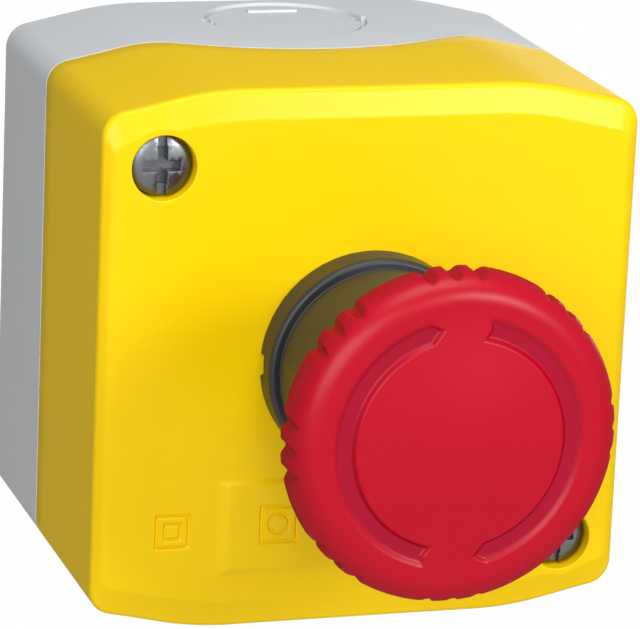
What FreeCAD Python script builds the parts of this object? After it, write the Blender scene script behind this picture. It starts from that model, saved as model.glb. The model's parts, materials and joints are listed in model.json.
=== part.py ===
# Emergency stop station: a rear box and its cover, a twist-to-release mushroom head, two contact blocks.
#
# Sizes are in millimetres. Every piece is drawn looking at the station from the front: X to the right, Y up,
# and Z forward out of the wall, with Z = 0 on the back mounting face. The export then stands it up, so that
# the finished part has X to the right, Z up and its front towards -Y.

import FreeCAD, Part
import math
import os

V = FreeCAD.Vector
forward = V(0, 0, 1)
right = V(1, 0, 0)
up = V(0, 1, 0)

# Case
case_width = 68.0
case_height = 68.0
case_depth = 53.0
shoulder_width = 13.5        # sloping stretch at each end of the top and of the bottom
shoulder_drop = 3.0          # fall of the top from that stretch to the side
shoulder_radius = 40.0
corner_radius = 3.2
side_wall = 2.4
back_wall = 2.8
front_wall = 2.6
parting_depth = 23.0         # rear box and cover meet here at the sides
tongue_width = 42.0          # the box reaches further forward in the middle of its top and bottom
tongue_rise = 7.4
tongue_blend = 8.0           # radius of the curve that leads from the sides' line into the tongue
parting_gap = 0.2
back_chamfer = 0.6
bevel_height = 3.6           # sloped band along the top and bottom of the cover's front
bevel_depth = 1.1
front_edge = 1.3             # softened left and right edges of the cover's front

# Joint between box and cover
lip_gap = 0.2
lip_thickness = 1.2
lip_height = 3.0
lip_root = 3.0
gasket_height = 1.5
ledge_height = 4.0

# Cover screws
screw_side_inset = 7.5       # from the case's side to a screw's axis
screw_end_inset = 9.2        # and from its top or bottom
screw_shank = 4.0            # diameter, as all the sizes of round things below that don't say radius
screw_head = 7.4
screw_head_height = 2.4
screw_crown = 0.5
screw_sunk = 0.9             # the head's crown lies this far behind the cover's front
screw_well = 8.0
well_floor_wall = 1.8
screw_point = 0.8
screw_reach = 31.0
slot_width = 1.1
slot_depth = 1.1
cross_span = 4.6
cross_width = 1.3
cross_depth = 1.9
thread_gap = 0.04
boss_wall = 1.6
shank_play = 0.5
washer_thickness = 1.0
washer_gap = 0.1
box_boss_rise = 6.0          # the box's screw bosses reach this far in front of the parting line
boss_clearance = 0.3

# Fixing holes in the back wall
fixing_hole = 4.3
fixing_head_well = 7.8
fixing_sleeve_height = 6.2
fixing_seat_height = 2.7
fixing_wall = 1.1

# Closed cable entries in the top and bottom walls
entry_diameter = 20.4
entry_depth = 12.8           # from the back face to the entry's centre
entry_groove = 0.8
entry_groove_depth = 0.9
entry_disc_sunk = 0.3
entry_pit = 1.9
entry_pit_depth = 1.5
entry_bar_length = 6.6
entry_bar_width = 0.8
entry_bar_inset = 6.6        # from the entry's centre back to the raised bar

# Marks moulded in the cover's front
mark_depth = 0.35
square_side_inset = 10.0     # from the case's left side to the double square's middle
square_end_inset = 13.0      # and from its bottom
outer_square = 4.5
inner_square = 2.4
square_line = 0.45
label_width = 36.8
label_height = 12.3
label_end_inset = 6.95       # from the case's bottom
label_rise = 0.5
label_side_bevel = 1.4
label_top_bevel = 0.5
label_bottom_bevel = 1.0
emblem_inset = 7.8           # from the label's left end to the small square's middle
emblem_rise = 6.55           # and from its lower edge
emblem_square = 5.0
emblem_ring = 3.0

# Head: what is fixed in the cover
panel_hole = 22.3
key_width = 3.2
key_reach = 12.05            # radius of the key slot's end
key_play = 0.1
bush_play = 0.2
bush_bore = 17.2
bezel_diameter = 27.6
bezel_height = 4.5
bezel_seat = 0.05
bezel_round = 0.7
bezel_notch_width = 2.6
bezel_notch_depth = 0.5
bezel_notch_height = 1.6
neck_groove_depth = 0.5
neck_groove_width = 0.9
neck_groove_slope = 0.3
collar_diameter = 25.8
collar_wall = 1.6
collar_edge = 0.4
collar_projection = 26.5
head_gasket_width = 1.7
head_gasket_height = 1.0
head_gasket_play = 0.1
nut_height = 6.0
nut_diameter = 28.0
nut_notches = 8
nut_notch = 3.0
nut_notch_out = 0.5          # from the nut's rim out to each notch's centre
nut_flange = 1.2
guide_length = 3.5
guide_play = 0.06
wiper_thickness = 2.0
wiper_groove = 0.6
wiper_land = 0.7
wiper_gap = 0.3
wiper_lip = 0.8

# Head: what moves
push_travel = 4.5
twist_travel = 30.0          # degrees, clockwise seen from the front
rod_diameter = 6.0
foot_diameter = 15.2
foot_thickness = 2.0
foot_inset = 0.9             # the foot's front lies this far inside the bush at rest
hub_diameter = 16.0
hub_length = 9.0
pawl_diameter = 3.5
pawl_play = 0.05
pawl_length = 4.6
pawl_stroke = 1.2
pawl_tip = 9.6               # radius that the pawls reach at rest
pawl_gap = 0.3
lug_angle = 40.0             # degrees
lug_play = 2.0               # degrees
lug_length = 1.6
lug_inner = 5.3
lug_outer = 7.0
lug_gap = 0.15
cam_diameter = 14.9
cam_length = 12.0
cam_pocket = 11.8
cam_pocket_depth = 7.0
cam_gap = 0.1
clip_thickness = 0.8
clip_diameter = 10.0
clip_groove = 4.8
clip_opening = 70.0          # degrees
rod_end = 1.2
rod_room = 4.4               # from the rod's front end to the cap's inside
cap_diameter = 40.0
cap_front = 34.9             # from the cover's front to the plane of the cap's face
cap_dome = 1.5
cap_rim = 1.8
cap_shoulder = 3.5
cap_edge = 0.6
cap_flare_across = 0.32      # where the middle of the flare under the rim lies, as shares of its width
cap_flare_back = 0.3         # and of the skirt's length
cap_wall = 2.8
cap_skirt_play = 0.6
cap_skirt_wall = 1.5
cap_skirt_length = 6.2
cap_skirt_end = 1.0
cap_boss_wall = 1.7
cap_boss_play = 0.05
cap_boss_gap = 0.5
grip_groups = 8
grip_notches = 3
grip_pitch = 9.0             # degrees
grip_turn = -2.0             # degrees, the first group's middle from the top
grip_depth = 0.8
grip_width = 2.2
arrow_outer = 15.4
arrow_inner = 12.4
arrow_depth = 0.35
arrow_tails = (10.0, 192.5)  # clock angles from the top, in degrees
arrow_tips = (172.0, 351.0)
arrow_point = 8.0            # degrees
arrow_notch = 2.5            # degrees

# Contact blocks
block_width = 10.6
block_height = 30.0
block_body = 20.0
block_cover_thickness = 2.0
block_pitch = 11.2
block_wall = 1.2
chamber_height = 16.0
chamber_post = 1.0
block_rib = 1.6
block_rib_height = 4.0
block_rib_gap = 0.15
carrier_width = 5.4
carrier_depth = 4.0
carrier_play = 0.1
carrier_clear = 0.4          # carrier above the cover when pushed home
carrier_foot = 7.5           # rest height of its lower end above the chamber's floor
carrier_flange = 1.0
carrier_flange_width = 7.2
carrier_flange_depth = 6.0
carrier_flange_gap = 0.15
foot_gap = 0.2
bridge_thickness = 1.0
bridge_width = 3.0
bridge_length = 13.2
bridge_height = 13.0
bridge_play = 0.1
tip_diameter = 2.2
tip_height = 0.6
tip_inset = 1.2
strip_thickness = 0.8
strip_width = 5.0
strip_inner = 4.2
strip_outer = 14.0
terminal_y = 11.5
terminal_screw = 3.0
terminal_head = 5.2
terminal_head_height = 1.9
terminal_reach = 7.0
terminal_hole_play = 0.1
clamp_size = 6.0
clamp_thickness = 0.9
driver_hole = 5.8

# Springs, by wire, middle diameter and turns
return_wire = 0.9
return_coil = 12.0
return_turns = 6
twist_wire = 0.8
twist_coil = 9.2
twist_turns = 5
pawl_wire = 0.4
pawl_coil = 2.2
pawl_turns = 7
block_wire = 0.4
block_coil = 3.4
block_turns = 6
contact_wire = 0.3
contact_coil = 2.0
contact_turns = 4
spring_gap = 0.05

# Places and depths that follow from the sizes above
screw_x = case_width / 2 - screw_side_inset
screw_y = case_height / 2 - screw_end_inset
double_square_x = square_side_inset - case_width / 2
double_square_y = square_end_inset - case_height / 2
label_bottom = label_end_inset - case_height / 2
label_top = label_bottom + label_height
emblem_x = emblem_inset - label_width / 2
emblem_y = label_bottom + emblem_rise
lid_inside = case_depth - front_wall
ledge_depth = parting_depth + lip_height + gasket_height
screw_seat = case_depth - screw_sunk - screw_crown - screw_head_height
box_boss_height = parting_depth + box_boss_rise
washer_depth = box_boss_height + washer_gap
lid_boss_depth = washer_depth + washer_thickness + washer_gap
block_top = back_wall + block_body + block_cover_thickness
carrier_tip = block_top + carrier_clear + push_travel
foot_back = carrier_tip + foot_gap
foot_front = foot_back + foot_thickness
bush_end = foot_front - foot_inset
guide_back = foot_front + push_travel
guide_front = guide_back + guide_length
cap_plane = case_depth + cap_front
cap_inside = cap_plane - cap_wall
rod_front = cap_inside - rod_room
clip_back = rod_front - rod_end - clip_thickness
cam_front = clip_back - cam_gap
cam_back = cam_front - cam_length
hub_front = cam_back - cam_gap
hub_back = hub_front - hub_length
pawl_depth = hub_back + hub_length / 2
collar_bore = collar_diameter - 2 * collar_wall
collar_front = case_depth + collar_projection
wiper_front = collar_front - wiper_land
cap_boss_bore = cam_diameter + 2 * cap_boss_play
cap_boss = cap_boss_bore + 2 * cap_boss_wall
twist_pocket_front = cam_back + cam_pocket_depth


# Small helpers

def tube(outer, inner, bottom, top):
    """A ring along Z, by its two diameters."""
    ring = Part.makeCylinder(outer / 2, top - bottom, V(0, 0, bottom), forward)
    if inner > 0:
        ring = ring.cut(Part.makeCylinder(inner / 2, top - bottom, V(0, 0, bottom), forward))
    return ring


def rod(diameter, bottom, top, x=0.0, y=0.0):
    """A round bar along Z."""
    return Part.makeCylinder(diameter / 2, top - bottom, V(x, y, bottom), forward)


def block(width, height, bottom, top, x=0.0, y=0.0):
    """A bar along Z with a rectangular section, centred on x, y."""
    corner = V(x - width / 2, y - height / 2, bottom)
    return Part.makeBox(width, height, top - bottom, corner)


def turned(points):
    """A solid of revolution about Z from a closed outline of (radius, Z) points."""
    wire = Part.makePolygon([V(r, 0, z) for r, z in points] + [V(points[0][0], 0, points[0][1])])
    return Part.Face(wire).revolve(V(0, 0, 0), forward, 360)


def rounded_wire(corners, radii, depth):
    """A closed wire through convex corners, each rounded by its own radius, at one depth."""
    edges = []
    ends = []
    count = len(corners)
    for i in range(count):
        here = V(corners[i][0], corners[i][1], depth)
        before = V(corners[i - 1][0], corners[i - 1][1], depth)
        after = V(corners[(i + 1) % count][0], corners[(i + 1) % count][1], depth)
        a = (before - here).normalize()
        b = (after - here).normalize()
        half = a.getAngle(b) / 2
        middle = (a + b).normalize()
        reach = radii[i] / math.tan(half)
        centre = here + middle * (radii[i] / math.sin(half))
        start = here + a * reach
        end = here + b * reach
        edges.append(Part.Arc(start, centre - middle * radii[i], end).toShape())
        ends.append((start, end))
    closing = [Part.LineSegment(ends[i - 1][1], ends[i][0]).toShape() for i in range(count)]
    loop = []
    for line, arc in zip(closing, edges):
        loop += [line, arc]
    return Part.Wire(loop)


def case_wire(inset, depth, face_inset=None):
    """The case's outline seen from the front, moved inwards. face_inset, if given, is the inset of its top,
    bottom and shoulders alone."""
    level = inset if face_inset is None else face_inset
    slope = math.atan2(shoulder_drop, shoulder_width)
    side = case_width / 2 - inset
    top = case_height / 2 - level
    reach = case_width / 2 * math.sin(slope) + (case_height / 2 - shoulder_drop) * math.cos(slope) - level
    bend = (reach - top * math.cos(slope)) / math.sin(slope)
    corner = (reach - side * math.sin(slope)) / math.cos(slope)
    corners = [(side, -corner), (side, corner), (bend, top), (-bend, top),
               (-side, corner), (-side, -corner), (-bend, -top), (bend, -top)]
    small = max(corner_radius - inset, 0.5)
    large = shoulder_radius - level
    return rounded_wire(corners, [small, small, large, large] * 2, depth)


def case_prism(inset, bottom, top):
    """A solid with the case's outline, moved inwards, between two depths."""
    return Part.Face(case_wire(inset, bottom)).extrude(V(0, 0, top - bottom))


def tongue_region(grow, bottom):
    """The space in front of the sides' parting line that the box's top and bottom tongues take: an arc that
    a smaller arc on each side leads into, all moved outwards by grow."""
    radius = ((tongue_width / 2) ** 2 + tongue_rise ** 2) / (2 * tongue_rise)
    middle = parting_depth + tongue_rise - radius
    line = parting_depth + grow
    blend_depth = parting_depth + tongue_blend
    blend_x = math.sqrt((radius + tongue_blend) ** 2 - (blend_depth - middle) ** 2)
    lean = math.atan2(blend_x, blend_depth - middle)

    def at(x, depth):
        return V(x, -case_height, depth)

    def on_blend(side, turn):
        reach = tongue_blend - grow
        return at(side * (blend_x - reach * math.sin(turn)), blend_depth - reach * math.cos(turn))

    def on_arc(turn):
        return at((radius + grow) * math.sin(turn), middle + (radius + grow) * math.cos(turn))

    outline = Part.Wire([
        Part.Arc(on_blend(-1, 0), on_blend(-1, lean / 2), on_blend(-1, lean)).toShape(),
        Part.Arc(on_arc(-lean), on_arc(0), on_arc(lean)).toShape(),
        Part.Arc(on_blend(1, lean), on_blend(1, lean / 2), on_blend(1, 0)).toShape(),
        Part.LineSegment(at(blend_x, line), at(blend_x, bottom)).toShape(),
        Part.LineSegment(at(blend_x, bottom), at(-blend_x, bottom)).toShape(),
        Part.LineSegment(at(-blend_x, bottom), at(-blend_x, line)).toShape()])
    return Part.Face(outline).extrude(V(0, 2 * case_height, 0))


def coil_spring(wire, coil, turns, bottom, top):
    """A wire coil along Z between two depths, with an eight-sided wire to keep it light. Each half turn is
    an arc in a plane that leans with the pitch, so the arcs run into each other without a kink."""
    length = top - bottom - wire
    rise = length / (2 * turns)
    lean = math.atan2(rise / 2, coil / 2)
    radius = (coil / 2) / math.cos(lean)
    halves = []
    for i in range(2 * turns):
        side = 1 if i % 2 == 0 else -1
        z = bottom + wire / 2 + rise * (i + 0.5)
        section = Part.Face(Part.makePolygon(
            [V(side * radius + wire / 2 * math.cos(math.radians(45 * k)), 0,
               wire / 2 * math.sin(math.radians(45 * k))) for k in range(9)]))
        half = section.revolve(V(0, 0, 0), forward, 180)
        half.rotate(V(0, 0, 0), up, side * math.degrees(lean))
        half.translate(V(0, 0, z))
        halves.append(half)
    return halves[0].multiFuse(halves[1:])


# Case pieces

def screw_places():
    return [(-screw_x, screw_y), (screw_x, -screw_y)]


def fixing_places():
    return [(screw_x, screw_y), (-screw_x, -screw_y)]


def cable_entry(side):
    """What the closed cable entry takes out of the top (side 1) or bottom (side -1) wall: a ring groove that
    leaves a thin web, a slightly sunk disc and the two pits where a tool breaks it out."""
    face = side * case_height / 2
    out = V(0, side, 0)

    def disc(diameter, depth, x=0.0):
        start = V(x, face - side * depth, entry_depth)
        return Part.makeCylinder(diameter / 2, depth + 1, start, out)

    groove = disc(entry_diameter + entry_groove, entry_groove_depth)
    groove = groove.cut(disc(entry_diameter - entry_groove, entry_groove_depth + 1))
    sunk = disc(entry_diameter, entry_disc_sunk)
    bar = block(entry_bar_length, 2 * side_wall, entry_depth - entry_bar_inset,
                entry_depth - entry_bar_inset + entry_bar_width, 0, face)
    pits = [disc(entry_pit, entry_pit_depth, s * entry_diameter / 2) for s in (-1, 1)]
    return sunk.cut(bar).multiFuse([groove] + pits)


def base():
    """Rear box: back wall, side walls with the two forward tongues, sealing lip, bosses and block ribs."""
    shell = case_prism(0, back_chamfer, parting_depth)
    foot = Part.makeLoft([case_wire(back_chamfer, 0), case_wire(0, back_chamfer)], True, True)
    reach = parting_depth + tongue_rise + 1
    tongues = case_prism(0, parting_depth - 1, reach).common(tongue_region(0, parting_depth - 1))
    solid = shell.multiFuse([foot, tongues])
    solid = solid.cut(case_prism(side_wall, back_wall, reach))
    inner = side_wall + lip_gap
    band = case_prism(side_wall / 2, parting_depth - lip_root, parting_depth - parting_gap)
    lip = case_prism(inner, parting_depth - lip_root, parting_depth + lip_height)
    hollow = case_prism(inner + lip_thickness, back_wall, parting_depth + lip_height)
    solid = solid.multiFuse([band.cut(hollow), lip.cut(hollow)])

    inside = case_prism(side_wall / 2, back_wall / 2, case_depth)
    boss = screw_shank + 2 * boss_wall
    additions = []
    for x, y in screw_places():
        additions.append(rod(boss, back_wall / 2, box_boss_height, x, y))
        web_top = parting_depth - lip_root
        wide = Part.makeBox(case_width, boss_wall, web_top - back_wall / 2,
                            V(x if x > 0 else x - case_width, y - boss_wall / 2, back_wall / 2))
        high = Part.makeBox(boss_wall, case_height, web_top - back_wall / 2,
                            V(x - boss_wall / 2, y if y > 0 else y - case_height, back_wall / 2))
        additions += [wide, high]
    sleeve = fixing_head_well + 2 * fixing_wall
    for x, y in fixing_places():
        additions.append(rod(sleeve, back_wall / 2, back_wall + fixing_sleeve_height, x, y))
    rib_length = 2 * block_pitch
    rib_middle = block_height / 2 + block_rib_gap + block_rib / 2
    for side in (-1, 1):
        additions.append(block(rib_length, block_rib, back_wall / 2, back_wall + block_rib_height,
                               0, side * rib_middle))
    solid = solid.fuse(additions[0].multiFuse(additions[1:]).common(inside))

    cuts = []
    for x, y in screw_places():
        cuts.append(rod(screw_shank + 2 * thread_gap, screw_seat - screw_reach - 1,
                        box_boss_height + 1, x, y))
    for x, y in fixing_places():
        cuts.append(rod(fixing_hole, -1, back_wall + fixing_sleeve_height, x, y))
        cuts.append(rod(fixing_head_well, back_wall + fixing_seat_height,
                        back_wall + fixing_sleeve_height + 1, x, y))
    cuts += [cable_entry(1), cable_entry(-1)]
    return solid.cut(cuts[0].multiFuse(cuts[1:]))


def square_frame(side, line, x, y, depth):
    """A square groove in the cover's face."""
    bottom = case_depth - depth
    ring = block(side, side, bottom, case_depth + 1, x, y)
    return ring.cut(block(side - 2 * line, side - 2 * line, bottom - 1, case_depth + 1, x, y))


def label_field():
    """The raised place for a label, with bevelled sides."""
    root = 0.3
    side = label_width / 2
    foot = [V(-side, label_bottom, 0), V(side, label_bottom, 0), V(side, label_top, 0), V(-side, label_top, 0)]
    side -= label_side_bevel
    low = label_bottom + label_bottom_bevel
    high = label_top - label_top_bevel
    top = [V(-side, low, 0), V(side, low, 0), V(side, high, 0), V(-side, high, 0)]

    def outline(share):
        depth = case_depth + label_rise * share
        points = [start + (end - start) * share for start, end in zip(foot, top)]
        return Part.makePolygon([V(point.x, point.y, depth) for point in points + points[:1]])

    return Part.makeLoft([outline(-root / label_rise), outline(1)], True, True)


def lid_marks():
    """Everything that is sunk into the cover's front: double square and the label place's small emblem."""
    marks = [square_frame(outer_square, square_line, double_square_x, double_square_y, mark_depth),
             square_frame(inner_square, square_line, double_square_x, double_square_y, mark_depth)]
    emblem = square_frame(emblem_square, square_line, emblem_x, emblem_y, mark_depth)
    ring = tube(emblem_ring, emblem_ring - 2 * square_line, case_depth - mark_depth, case_depth + 1)
    ring.translate(V(emblem_x, emblem_y, 0))
    emblem = emblem.fuse(ring)
    emblem.translate(V(0, 0, label_rise))
    marks.append(emblem)
    return marks[0].multiFuse(marks[1:])


def lid():
    """Front cover: bevelled shell, sealing ledge, screw bosses, keyed head hole and marks."""
    shell = case_prism(0, parting_depth + parting_gap, case_depth - bevel_depth)
    face = Part.makeLoft([case_wire(0, case_depth - bevel_depth),
                          case_wire(front_edge, case_depth, bevel_height)], True, True)
    solid = shell.fuse(face)
    inner = side_wall + lip_gap
    ledge = inner + lip_thickness
    solid = solid.cut(case_prism(side_wall, parting_depth, ledge_depth))
    solid = solid.cut(case_prism(ledge, ledge_depth - 1, ledge_depth + ledge_height))
    solid = solid.cut(case_prism(side_wall, ledge_depth + ledge_height, lid_inside))
    tongue = tongue_region(parting_gap, parting_depth)
    solid = solid.cut(tongue.cut(case_prism(inner, 0, case_depth)))
    post = screw_shank + 2 * boss_wall
    well = screw_well + 2 * boss_wall
    inside = case_prism(side_wall / 2, 0, case_depth - front_wall / 2)
    additions = []
    cuts = []
    for x, y in screw_places():
        additions.append(rod(post, lid_boss_depth, lid_inside + 1, x, y))
        additions.append(rod(well, screw_seat - well_floor_wall, lid_inside + 1, x, y))
        cuts.append(rod(screw_shank + shank_play, lid_boss_depth - 1, case_depth, x, y))
        cuts.append(rod(screw_well, screw_seat, case_depth + 1, x, y))
        cuts.append(rod(post + 2 * boss_clearance, parting_depth, lid_boss_depth, x, y))
    solid = solid.fuse(additions[0].multiFuse(additions[1:]).common(inside))
    cuts.append(rod(panel_hole, lid_inside - 1, case_depth + 1))
    cuts.append(Part.makeBox(key_width, key_reach, front_wall + 2,
                             V(-key_width / 2, -key_reach, lid_inside - 1)))
    cuts.append(lid_marks())
    solid = solid.fuse(label_field())
    return solid.cut(cuts[0].multiFuse(cuts[1:]))


def lid_gasket():
    """Soft ring that the cover's ledge presses on the box's lip."""
    inner = side_wall + lip_gap
    bottom = parting_depth + lip_height
    ring = case_prism(inner, bottom, bottom + gasket_height)
    ring = ring.cut(case_prism(inner + lip_thickness, bottom, bottom + gasket_height))
    post = screw_shank + 2 * boss_wall + 2 * boss_clearance
    posts = [rod(post, bottom, bottom + gasket_height, x, y) for x, y in screw_places()]
    return ring.cut(posts[0].fuse(posts[1]))


def lid_screw(x, y):
    """One cover screw: domed head with a slot and a cross in it, plain shank, pointed end."""
    radius = screw_head / 2
    shank = screw_shank / 2
    top = screw_seat + screw_head_height
    tip = screw_seat - screw_reach
    lower = turned([(0, tip), (shank - screw_point, tip), (shank, tip + screw_point), (shank, screw_seat),
                    (radius, screw_seat), (radius, top), (0, top)])
    dome = (radius ** 2 + screw_crown ** 2) / (2 * screw_crown)
    crown = Part.makeSphere(dome, V(0, 0, top + screw_crown - dome))
    crown = crown.common(rod(screw_head, top - 0.1, top + screw_crown))
    screw = lower.fuse(crown)
    head_top = top + screw_crown
    slot = block(slot_width, 2 * radius + 1, head_top - slot_depth, head_top + 1)
    arms = [block(cross_width, cross_span, head_top - cross_depth, head_top + 1),
            block(cross_span, cross_width, head_top - cross_depth, head_top + 1)]
    screw = screw.cut(slot.multiFuse(arms))
    screw.translate(V(x, y, 0))
    return screw


def lid_screws():
    return Part.makeCompound([lid_screw(x, y) for x, y in screw_places()])


def lid_screw_washers():
    """Retaining washers between the cover's bosses and the box's bosses."""
    outer = screw_shank + 2 * boss_wall
    rings = []
    for x, y in screw_places():
        ring = tube(outer, screw_shank + 2 * thread_gap, washer_depth, washer_depth + washer_thickness)
        ring.translate(V(x, y, 0))
        rings.append(ring)
    return Part.makeCompound(rings)


# Head pieces that stay with the cover

def head_body():
    """Bezel, collar and bush in one moulding, with the stem's guide, the latch cone and the seal's groove."""
    bush = panel_hole / 2 - bush_play
    bezel = bezel_diameter / 2
    collar = collar_diameter / 2
    seat = case_depth + bezel_seat
    top = case_depth + bezel_height
    outer = [(0, bush_end), (bush, bush_end), (bush, seat), (bezel, seat),
             (bezel, top - bezel_round), (bezel - bezel_round * 0.3, top - bezel_round * 0.3),
             (bezel - bezel_round, top), (collar - neck_groove_depth, top),
             (collar - neck_groove_depth, top + neck_groove_width),
             (collar, top + neck_groove_width + neck_groove_slope),
             (collar, collar_front - collar_edge), (collar - collar_edge, collar_front), (0, collar_front)]
    latch = pawl_tip + pawl_gap
    wide = latch + pawl_stroke
    seal_groove = collar_bore / 2 + wiper_groove
    shelf = pawl_depth - push_travel - pawl_diameter / 2 - pawl_gap
    cap_room = max(hub_front - push_travel, pawl_depth + pawl_diameter / 2) + pawl_gap
    bore = [(0, guide_front), (bush_bore / 2, guide_front), (bush_bore / 2, shelf),
            (wide, shelf), (wide, pawl_depth - push_travel), (latch, pawl_depth), (latch, cap_room),
            (collar_bore / 2, cap_room + collar_bore / 2 - latch),
            (collar_bore / 2, wiper_front - wiper_thickness), (seal_groove, wiper_front - wiper_thickness),
            (seal_groove, wiper_front), (collar_bore / 2, wiper_front),
            (collar_bore / 2, collar_front + 1), (0, collar_front + 1)]
    body = turned(outer).cut(turned(bore))
    body = body.cut(rod(bush_bore, bush_end - 1, guide_back))
    body = body.cut(rod(rod_diameter + 2 * guide_play, guide_back - 1, guide_front + 1))
    seal = head_gasket_width + 2 * head_gasket_play
    middle = bush + bezel
    body = body.cut(tube(middle + seal, middle - seal, seat - 1, seat + head_gasket_height))
    key = Part.makeBox(key_width - 2 * key_play, key_reach - key_play - bush + 1, front_wall - bezel_seat,
                       V(-key_width / 2 + key_play, -key_reach + key_play, lid_inside))
    body = body.fuse(key)
    notch = Part.makeBox(bezel_notch_depth + 1, bezel_notch_width, bezel_notch_height + 1,
                         V(-bezel - 1, -bezel_notch_width / 2, seat - 1))
    return body.cut(notch)


def head_gasket():
    """Flat seal in the bezel's rear face, on the cover."""
    middle = panel_hole / 2 - bush_play + bezel_diameter / 2
    return tube(middle + head_gasket_width, middle - head_gasket_width, case_depth,
                case_depth + head_gasket_height)


def head_nut():
    """Nut behind the cover, with grip notches round it."""
    bore = panel_hole - 2 * bush_play + 2 * thread_gap
    top = lid_inside - spring_gap
    nut = tube(nut_diameter, bore, top - nut_height, top)
    notches = []
    for i in range(nut_notches):
        turn = math.radians(360 / nut_notches * i)
        place = nut_diameter / 2 + nut_notch_out
        notches.append(rod(nut_notch, top - nut_height - 1, top - nut_flange,
                           place * math.cos(turn), place * math.sin(turn)))
    return nut.cut(notches[0].multiFuse(notches[1:]))


def wiper_seal():
    """Lip ring in the collar's groove, round the cap's shank."""
    back = wiper_front - wiper_thickness + spring_gap
    front = wiper_front - spring_gap
    outer = collar_bore / 2 + wiper_groove - spring_gap
    lip = cap_boss / 2 + wiper_gap
    heel = lip + wiper_lip
    return turned([(heel, back), (outer, back), (outer, front), (heel, front),
                   (lip, front - wiper_lip / 2), (lip, front - wiper_lip)])


# Head pieces that move

def sector(outer, inner, start, sweep, bottom, top):
    """Part of a ring along Z, from a clock angle and on clockwise, by its two radii."""
    ring = Part.makeCylinder(outer, top - bottom, V(0, 0, bottom), forward, sweep)
    ring = ring.cut(Part.makeCylinder(inner, top - bottom, V(0, 0, bottom), forward))
    ring.rotate(V(0, 0, 0), forward, 90 - start - sweep)
    return ring


def lug_starts():
    """Clock angles where the sleeve's two lugs begin."""
    return (-lug_angle / 2, 180.0 - lug_angle / 2)


def stem():
    """Push rod: foot on the contact blocks, thin rod through the guide, hub with the pawls' cross bore and
    the lugs' slots, and the journal that the sleeve turns on."""
    shaft = rod(rod_diameter, foot_back, rod_front)
    foot = rod(foot_diameter, foot_back, foot_front)
    hub = rod(hub_diameter, hub_back, hub_front)
    solid = shaft.multiFuse([foot, hub])
    cross = Part.makeCylinder(pawl_diameter / 2 + pawl_play, hub_diameter + 2,
                              V(-hub_diameter / 2 - 1, 0, pawl_depth), right)
    slots = [sector(lug_outer + lug_gap, lug_inner - lug_gap, start - lug_play,
                    lug_angle + twist_travel + 2 * lug_play, hub_front - lug_length - lug_gap, hub_front + 1)
             for start in lug_starts()]
    groove = tube(rod_diameter + 1, clip_groove, clip_back, clip_back + clip_thickness + cam_gap)
    return solid.cut(cross.multiFuse(slots + [groove]))


def release_cam():
    """Sleeve in the cap: it turns on the stem's journal, holds the twist spring, and its two lugs run in the
    hub's slots and stop the turn."""
    sleeve = tube(cam_diameter, rod_diameter + 2 * guide_play, cam_back, cam_front)
    sleeve = sleeve.cut(rod(cam_pocket, cam_back - 1, twist_pocket_front))
    lug_base = hub_front - lug_length
    lugs = [sector(lug_outer, cam_pocket / 2, start, lug_angle, lug_base, cam_back + 1)
            for start in lug_starts()]
    return sleeve.multiFuse(lugs)


def stem_clip():
    """Open retaining ring in the stem's end groove."""
    ring = tube(clip_diameter, clip_groove + 2 * thread_gap, clip_back + spring_gap,
                clip_back + clip_thickness)
    gap = sector(clip_diameter, 0.1, 180 - clip_opening / 2, clip_opening, clip_back, clip_back + 2)
    return ring.cut(gap)


def pawl(side):
    """Latch pin with a round nose, on the right (side 1) or left (side -1)."""
    radius = pawl_diameter / 2
    start = V(side * (pawl_tip - pawl_length), 0, pawl_depth)
    shank = Part.makeCylinder(radius, pawl_length - radius, start, V(side, 0, 0))
    nose = Part.makeSphere(radius, V(side * (pawl_tip - radius), 0, pawl_depth))
    return shank.fuse(nose)


def pawl_spring():
    """Coil between the two pawls, through the hub's cross bore."""
    half = pawl_tip - pawl_length - spring_gap
    spring = coil_spring(pawl_wire, pawl_coil, pawl_turns, -half, half)
    spring.rotate(V(0, 0, 0), up, 90)
    spring.translate(V(0, 0, pawl_depth))
    return spring


def return_spring():
    return coil_spring(return_wire, return_coil, return_turns, guide_front + spring_gap, hub_back - spring_gap)


def twist_spring():
    return coil_spring(twist_wire, twist_coil, twist_turns, hub_front + spring_gap,
                       twist_pocket_front - spring_gap)


def turn_arrow(tail, tip):
    """The sunk place of one turning arrow: an arc with a swallow tail and a point, between clock angles."""
    middle = (arrow_outer + arrow_inner) / 2

    def at(radius, clock):
        turn = math.radians(90 - clock)
        return V(radius * math.cos(turn), radius * math.sin(turn), cap_plane - arrow_depth)

    neck = tip - arrow_point
    half_way = (tail + neck) / 2
    outline = Part.Wire([
        Part.Arc(at(arrow_outer, tail), at(arrow_outer, half_way), at(arrow_outer, neck)).toShape(),
        Part.LineSegment(at(arrow_outer, neck), at(middle, tip)).toShape(),
        Part.LineSegment(at(middle, tip), at(arrow_inner, neck)).toShape(),
        Part.Arc(at(arrow_inner, neck), at(arrow_inner, half_way), at(arrow_inner, tail)).toShape(),
        Part.LineSegment(at(arrow_inner, tail), at(middle, tail + arrow_notch)).toShape(),
        Part.LineSegment(at(middle, tail + arrow_notch), at(arrow_outer, tail)).toShape()])
    return Part.Face(outline).extrude(V(0, 0, arrow_depth + cap_dome + 1))


def grip_notch(clock):
    """One shallow V groove in the cap's rim."""
    radius = cap_diameter / 2
    low = cap_plane - cap_shoulder - cap_rim - 1
    outline = Part.makePolygon([V(-grip_width / 2, radius + 0.1, low), V(0, radius - grip_depth, low),
                                V(grip_width / 2, radius + 0.1, low), V(0, radius + 3, low),
                                V(-grip_width / 2, radius + 0.1, low)])
    notch = Part.Face(outline).extrude(V(0, 0, cap_plane - low))
    notch.rotate(V(0, 0, 0), forward, -clock)
    return notch


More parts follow.
